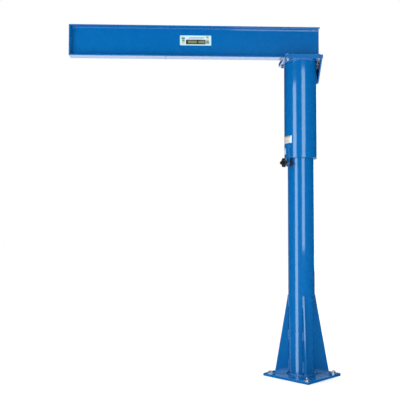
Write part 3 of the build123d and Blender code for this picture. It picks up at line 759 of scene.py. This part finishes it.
PAD_RADIUS = 0.030
PAD_BACKING = 0.0032
split = pad_end - PAD_BACKING
rubber_face = [
    (PAD_RADIUS - 0.0022, pad_start),
    (PAD_RADIUS - 0.0007, pad_start + 0.0006),
    (PAD_RADIUS - 0.0001, pad_start + 0.0022),
    (PAD_RADIUS - 0.0001, split),
]
backing = [
    (0.0045, split),
    (PAD_RADIUS - 0.0004, split),
    (PAD_RADIUS, split + 0.0004),
    (PAD_RADIUS, pad_end - 0.0006),
    (PAD_RADIUS - 0.0006, pad_end),
    (0.0052, pad_end),
    (0.0045, pad_end - 0.0006),
]
rubber = [moved(lathe(rubber_face, 96, closed=False), lock_place)]
steel = [moved(lathe(backing, 96), lock_place)]
pad_rubber = moulded("pad_rubber", (0.012, 0.012, 0.013, 1), 0.55, 0.00006, 700.0)
pad_steel = moulded("oxide_pad_backing", (0.030, 0.031, 0.034, 1), 0.38, 0.00002, 1200.0, dust=0.15)
pad_face = mesh_piece("lock_pad_rubber", rubber, [pad_rubber], "lock_pad")
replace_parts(pad_face, "lock_pad")
mesh_piece("lock_pad_backing", steel, [pad_steel], "lock_pad")

KNOB_HUB = 0.026
KNOB_LOBE = 0.014
KNOB_CIRCLE = 0.024
KNOB_VALLEY = 0.006
KNOB_ROUND = 0.004


def knob_outline():
    """Points and outward directions once round the four-lobed knob, from its first valley."""
    across = KNOB_HUB + KNOB_VALLEY
    reach = KNOB_LOBE + KNOB_VALLEY
    swing = math.acos((across**2 + KNOB_CIRCLE**2 - reach**2) / (2 * across * KNOB_CIRCLE))
    valley = Vector((across * math.cos(swing), across * math.sin(swing)))
    lobe = Vector((KNOB_CIRCLE, 0))
    lean_out = math.atan2((valley - lobe).y, (valley - lobe).x)
    half = []
    for step in range(15):
        turn = lean_out * step / 14
        way = Vector((math.cos(turn), math.sin(turn)))
        half.append((lobe + way * KNOB_LOBE, way))
    hub_turn = math.pi + swing - (math.pi + lean_out)
    for step in range(1, 8):
        turn = math.pi + lean_out + hub_turn * step / 7
        way = Vector((math.cos(turn), math.sin(turn)))
        half.append((valley + way * KNOB_VALLEY, -way))
    for step in range(1, 3):
        turn = swing + (math.pi / 4 - swing) * step / 2
        way = Vector((math.cos(turn), math.sin(turn)))
        half.append((way * KNOB_HUB, way))
    mirrored = [(Vector((p.x, -p.y)), Vector((w.x, -w.y))) for p, w in half[1:]][::-1]
    lobe_points = (mirrored + half)[:-1]
    around = []
    for quarter in range(4):
        spin = Matrix.Rotation(quarter * math.pi / 2, 2)
        around += [(spin @ point, spin @ way) for point, way in lobe_points]
    return around


outline = knob_outline()
knob_rings = []
for inset, height in ((0.0014, knob_start), (0.0004, knob_start + 0.0004), (0.0, knob_start + 0.0014)):
    knob_rings.append([(*(point - way * inset), height) for point, way in outline])
for step in range(9):
    turn = math.pi / 2 * step / 8
    inset = KNOB_ROUND * (1 - math.cos(turn))
    height = knob_end - KNOB_ROUND * (1 - math.sin(turn))
    knob_rings.append([(*(point - way * inset), height) for point, way in outline])
for radius, height in ((0.0150, 0.0), (0.0144, 0.0001), (0.0140, 0.0010), (0.0135, 0.0013)):
    knob_rings.append([(*(point.normalized() * radius), knob_end - height) for point, way in outline])
knob = [moved(skin(knob_rings, closed=False), lock_place)]
knob_plastic = moulded("phenolic_knob", (0.010, 0.010, 0.011, 1), 0.26, 0.00002, 500.0)
knob = mesh_piece("lock_knob_moulded", knob, [knob_plastic], "lock_screw", 50.0)
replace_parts(knob, "lock_knob")

# ------------------------------------------------------------
# Stickers: printed polyester film, one on the boom's web and two wrapped on the sleeve. They
# carry plain colour blocks and rules only, with no lettering or marks.


def print_film(name, colour, roughness=0.34):
    """Printed film: slightly uneven ink, faint handling scuffs and the laminate's low sheen."""
    material, tree, shader, place = start_material(name)
    worn = tuple(part * 0.86 + 0.05 for part in colour[:3]) + (1,)
    tone = blend_colours(tree, remap(tree, grain(tree, place, 45.0, 5.0), 0.35, 0.75), colour, worn)
    scuff = remap(tree, grain(tree, place, 420.0, 4.0, (1.0, 1.0, 0.15)), 0.60, 0.74)
    tone = blend_colours(tree, arithmetic(tree, "MULTIPLY", scuff, 0.25), tone, SHOP_DUST)
    tree.links.new(tone, shader.inputs["Base Color"])
    rough = arithmetic(tree, "ADD", arithmetic(tree, "MULTIPLY", scuff, 0.25), roughness)
    tree.links.new(rough, shader.inputs["Roughness"])
    shader.inputs["Coat Weight"].default_value = 0.25
    shader.inputs["Coat Roughness"].default_value = 0.2
    inputs = {"Strength": 0.25, "Distance": 0.00003, "Height": grain(tree, place, 800.0, 2.0)}
    texture = add_node(tree, "ShaderNodeBump", inputs).outputs[0]
    tree.links.new(texture, shader.inputs["Normal"])
    return material


INKS = {
    "white": print_film("film_white", (0.60, 0.71, 0.80, 1)),
    "pink": print_film("film_pinkish_white", (0.58, 0.54, 0.56, 1)),
    "black": print_film("ink_black", (0.006, 0.007, 0.006, 1)),
    "olive": print_film("ink_pale_olive", (0.19, 0.20, 0.07, 1)),
    "lilac": print_film("ink_lilac_grey", (0.40, 0.39, 0.50, 1)),
    "tan": print_film("ink_tan", (0.46, 0.25, 0.14, 1)),
    "sand": print_film("ink_sand", (0.56, 0.46, 0.38, 1)),
    "yellow": print_film("ink_pale_yellow", (0.58, 0.62, 0.36, 1)),
    "green": print_film("ink_green", (0.09, 0.30, 0.15, 1)),
    "teal": print_film("ink_teal", (0.02, 0.12, 0.13, 1)),
    "grey": print_film("ink_grey", (0.12, 0.13, 0.14, 1)),
}
FILM_THICKNESS = 0.0004


def sticker(name, width, height, blocks, spot, corner=0.0, step=0.008):
    """Thin film with printed blocks (left, top, right, bottom, ink) from its upper left corner.
    spot(across, down, lift) gives a point on it; lift 0 is the painted steel below."""
    across = {0.0, width} | {edge for block in blocks for edge in (block[0], block[2])}
    downs = {0.0, height} | {edge for block in blocks for edge in (block[1], block[3])}
    for length, cuts in ((width, across), (height, downs)):
        cuts.update(length * cut / int(length / step) for cut in range(int(length / step)))
        if corner:
            cuts -= {cut for cut in cuts if 0 < cut < corner or length - corner < cut < length}
            cuts.update((corner, 0.4 * corner, length - 0.4 * corner, length - corner))
    across, downs = sorted(across), sorted(downs)

    def rounded(u, v):
        """Keeps a corner's grid points on or inside its arc."""
        middle = Vector((min(max(u, corner), width - corner), min(max(v, corner), height - corner)))
        away = Vector((u, v)) - middle
        if corner and away.length > corner:
            away = away.normalized() * corner
        return middle + away

    inks = list(INKS)
    verts, faces, chosen = [], [], []
    for lift in (FILM_THICKNESS, 0.0):
        verts += [spot(*rounded(u, v), lift) for u in across for v in downs]
    rows = len(downs)
    below = len(across) * rows
    for i in range(len(across) - 1):
        for j in range(rows - 1):
            middle_u, middle_v = (across[i] + across[i + 1]) / 2, (downs[j] + downs[j + 1]) / 2
            ink = "white"
            for left, top, right, bottom, colour in blocks:
                if left < middle_u < right and top < middle_v < bottom:
                    ink = colour
            one, two = i * rows + j, (i + 1) * rows + j
            faces.append((one, one + 1, two + 1, two))
            faces.append((below + two, below + two + 1, below + one + 1, below + one))
            chosen += [inks.index(ink), 0]
    rim = [i * rows for i in range(len(across))]
    rim += [(len(across) - 1) * rows + j for j in range(1, rows)]
    rim += [i * rows + rows - 1 for i in range(len(across) - 2, -1, -1)]
    rim += list(range(rows - 2, 0, -1))
    for one, two in zip(rim, rim[1:] + rim[:1]):
        faces.append((one, two, below + two, below + one))
        chosen.append(0)
    return mesh_piece(name, [(verts, faces)], list(INKS.values()), "boom", 50.0, chosen)


boom_label_low, boom_label_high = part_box("boom_label")


def on_web(across, down_by, lift):
    """Point on the boom's sticker, on the web's front face."""
    return Vector((boom_label_low.x + across, boom_label_high.y - lift, boom_label_high.z - down_by))


boom_blocks = [
    (0.013, 0.009, 0.040, 0.018, "yellow"),
    (0.015, 0.018, 0.042, 0.031, "teal"),
    (0.019, 0.034, 0.040, 0.053, "green"),
    (0.015, 0.057, 0.040, 0.070, "sand"),
    (0.076, 0.014, 0.204, 0.022, "lilac"),
    (0.064, 0.026, 0.190, 0.032, "lilac"),
    (0.051, 0.036, 0.217, 0.075, "black"),
    (0.068, 0.045, 0.145, 0.066, "olive"),
    (0.157, 0.045, 0.208, 0.066, "olive"),
    (0.222, 0.006, 0.242, 0.021, "tan"),
    (0.222, 0.023, 0.242, 0.038, "yellow"),
    (0.220, 0.040, 0.246, 0.055, "green"),
    (0.220, 0.057, 0.248, 0.068, "grey"),
    (0.222, 0.073, 0.246, 0.079, "pink"),
]
size = boom_label_high - boom_label_low
boom_sticker = sticker("boom_sticker", size.x, size.z, boom_blocks, on_web, corner=0.004)
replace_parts(boom_sticker, "boom_label")


def wrapped_sticker(name, node, blocks):
    """Sticker on the sleeve's round face, over the place of its CAD piece."""
    low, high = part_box(node)
    corners = [vertex.co for vertex in nodes[node].data.vertices]
    middle = math.atan2(sum(corner.y for corner in corners), sum(corner.x for corner in corners))
    turns = [math.remainder(math.atan2(corner.y, corner.x) - middle, 2 * math.pi) for corner in corners]
    start, width = middle + min(turns), (max(turns) - min(turns)) * sleeve_radius

    def on_sleeve(across, down_by, lift):
        turn = start + across / sleeve_radius
        reach = sleeve_radius + lift
        return Vector((reach * math.cos(turn), reach * math.sin(turn), high.z - down_by))

    film = sticker(name, width, high.z - low.z, blocks, on_sleeve, corner=0.003, step=0.005)
    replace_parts(film, node)


data_blocks = [
    (0.0, 0.0, 0.112, 0.009, "tan"),
    (0.0, 0.009, 0.112, 0.016, "sand"),
    (0.0, 0.016, 0.102, 0.061, "pink"),
    (0.006, 0.024, 0.060, 0.0255, "grey"),
    (0.006, 0.031, 0.076, 0.0325, "grey"),
    (0.006, 0.038, 0.052, 0.0395, "grey"),
    (0.006, 0.045, 0.070, 0.0465, "grey"),
]
wrapped_sticker("data_sticker", "data_label", data_blocks)
notice_blocks = [
    (0.004, 0.004, 0.058, 0.012, "grey"),
    (0.004, 0.018, 0.050, 0.0195, "lilac"),
    (0.004, 0.026, 0.056, 0.0275, "lilac"),
    (0.004, 0.034, 0.044, 0.0355, "lilac"),
]
wrapped_sticker("notice_sticker", "notice_label", notice_blocks)

# ------------------------------------------------------------
# Studio: a pale painted floor, a white surround, a softbox overhead, two tall strip lights in front
# that draw the streaks down the pipes, one behind and a low fill. The camera is at chest height.
floor_mesh = bpy.data.meshes.new("studio_floor")
floor_mesh.from_pydata([(-40, -40, 0), (40, -40, 0), (40, 40, 0), (-40, 40, 0)], [], [(0, 1, 2, 3)])
studio_floor = bpy.data.objects.new("studio_floor", floor_mesh)
studio_floor.location.z = -0.0005
scene.collection.objects.link(studio_floor)
studio_floor.visible_glossy = False
floor_paint, tree, shader, place = start_material("pale_floor_paint")
tone = blend_colours(tree, grain(tree, place, 2.0, 4.0), (0.84, 0.84, 0.84, 1), (0.87, 0.87, 0.87, 1))
tree.links.new(tone, shader.inputs["Base Color"])
shader.inputs["Roughness"].default_value = 0.7
shader.inputs["Specular IOR Level"].default_value = 0.2
floor_mesh.materials.append(floor_paint)

world = bpy.data.worlds.new("studio_surround")
world.use_nodes = True
scene.world = world
tree = world.node_tree
tree.nodes.clear()
heading = add_node(tree, "ShaderNodeTexCoord").outputs["Generated"]
heading = add_node(tree, "ShaderNodeSeparateXYZ", {0: heading})
behind = remap(tree, heading.outputs[1], 0.70, 0.94)
low = remap(tree, heading.outputs[2], -0.10, -0.19)
level = remap(tree, heading.outputs[2], 0.14, 0.02, 0.0, 0.15)
low = arithmetic(tree, "MAXIMUM", low, level)
below = remap(tree, heading.outputs[2], -0.32, -0.62)
below = arithmetic(tree, "MULTIPLY", below, 0.7)
bright = arithmetic(tree, "MAXIMUM", arithmetic(tree, "MULTIPLY", behind, low), below)
surround = add_node(tree, "ShaderNodeMath", {0: bright, 1: 1.40}, operation="MULTIPLY").outputs[0]
ray = add_node(tree, "ShaderNodeLightPath")
seen = add_node(tree, "ShaderNodeBackground", {"Color": (1, 1, 1, 1), "Strength": 1.0}).outputs[0]
lit = add_node(tree, "ShaderNodeBackground", {"Color": (1, 1, 1, 1), "Strength": 0.45}).outputs[0]
mirrored = add_node(tree, "ShaderNodeBackground", {"Color": (1, 1, 1, 1), "Strength": surround}).outputs[0]
by_ray = {0: ray.outputs["Is Glossy Ray"], 1: lit, 2: mirrored}
lit = add_node(tree, "ShaderNodeMixShader", by_ray).outputs[0]
by_ray = {0: ray.outputs["Is Camera Ray"], 1: lit, 2: seen}
seen = add_node(tree, "ShaderNodeMixShader", by_ray).outputs[0]
add_node(tree, "ShaderNodeOutputWorld", {"Surface": seen})


def area_light(name, spot, target, width, height, brightness):
    """Soft rectangular light at a spot, facing a target; brightness is its surface's own."""
    lamp = bpy.data.lights.new(name, "AREA")
    lamp.shape = "RECTANGLE"
    lamp.size, lamp.size_y = width, height
    lamp.energy = brightness * math.pi * width * height
    lamp.color = (0.80, 1.0, 1.0)
    stand = bpy.data.objects.new(name, lamp)
    stand.location = spot
    stand.rotation_euler = (Vector(target) - Vector(spot)).to_track_quat("-Z", "Y").to_euler()
    stand.visible_camera = False
    scene.collection.objects.link(stand)
    return stand


overhead = bpy.data.lights.new("overhead_diffuser", "SUN")
overhead.energy = 2.75
overhead.angle = math.radians(60)
overhead = bpy.data.objects.new("overhead_diffuser", overhead)
overhead.rotation_euler = (math.radians(-12), math.radians(-6), 0)
scene.collection.objects.link(overhead)
area_light("right_strip", (0.63, -3.95, 2.2), (0, 0, 2.2), 1.7, 2.6, 3.4)
area_light("left_strip", (-3.17, -2.45, 1.15), (0, 0, 1.15), 1.7, 4.3, 3.7)
area_light("back_strip", (2.6, 4.2, 2.0), (0, 0, 1.4), 1.5, 3.0, 3.0)
low_fill = area_light("low_fill", (-0.6, -4.5, 0.5), (0, 0, 0.3), 3.0, 0.9, 2.3)
low_fill.visible_glossy = False

photographer = bpy.data.cameras.new("photographer")
photographer.sensor_width = 36.0
photographer.lens = 57.777
camera = bpy.data.objects.new("photographer", photographer)
yaw, pitch, roll = 0.0406855, 0.0386484, 0.00066398
forward = Vector((math.sin(yaw) * math.cos(pitch), math.cos(yaw) * math.cos(pitch), math.sin(pitch)))
right = Vector((math.cos(yaw), -math.sin(yaw), 0))
above = right.cross(forward)
right, above = (
    right * math.cos(roll) + above * math.sin(roll),
    above * math.cos(roll) - right * math.sin(roll),
)
axes = Matrix((right, above, -forward)).transposed().to_4x4()
camera.matrix_world = Matrix.Translation((-1.06971, -5.36470, 1.25362)) @ axes
scene.collection.objects.link(camera)
scene.camera = camera
scene.view_settings.view_transform = "Standard"
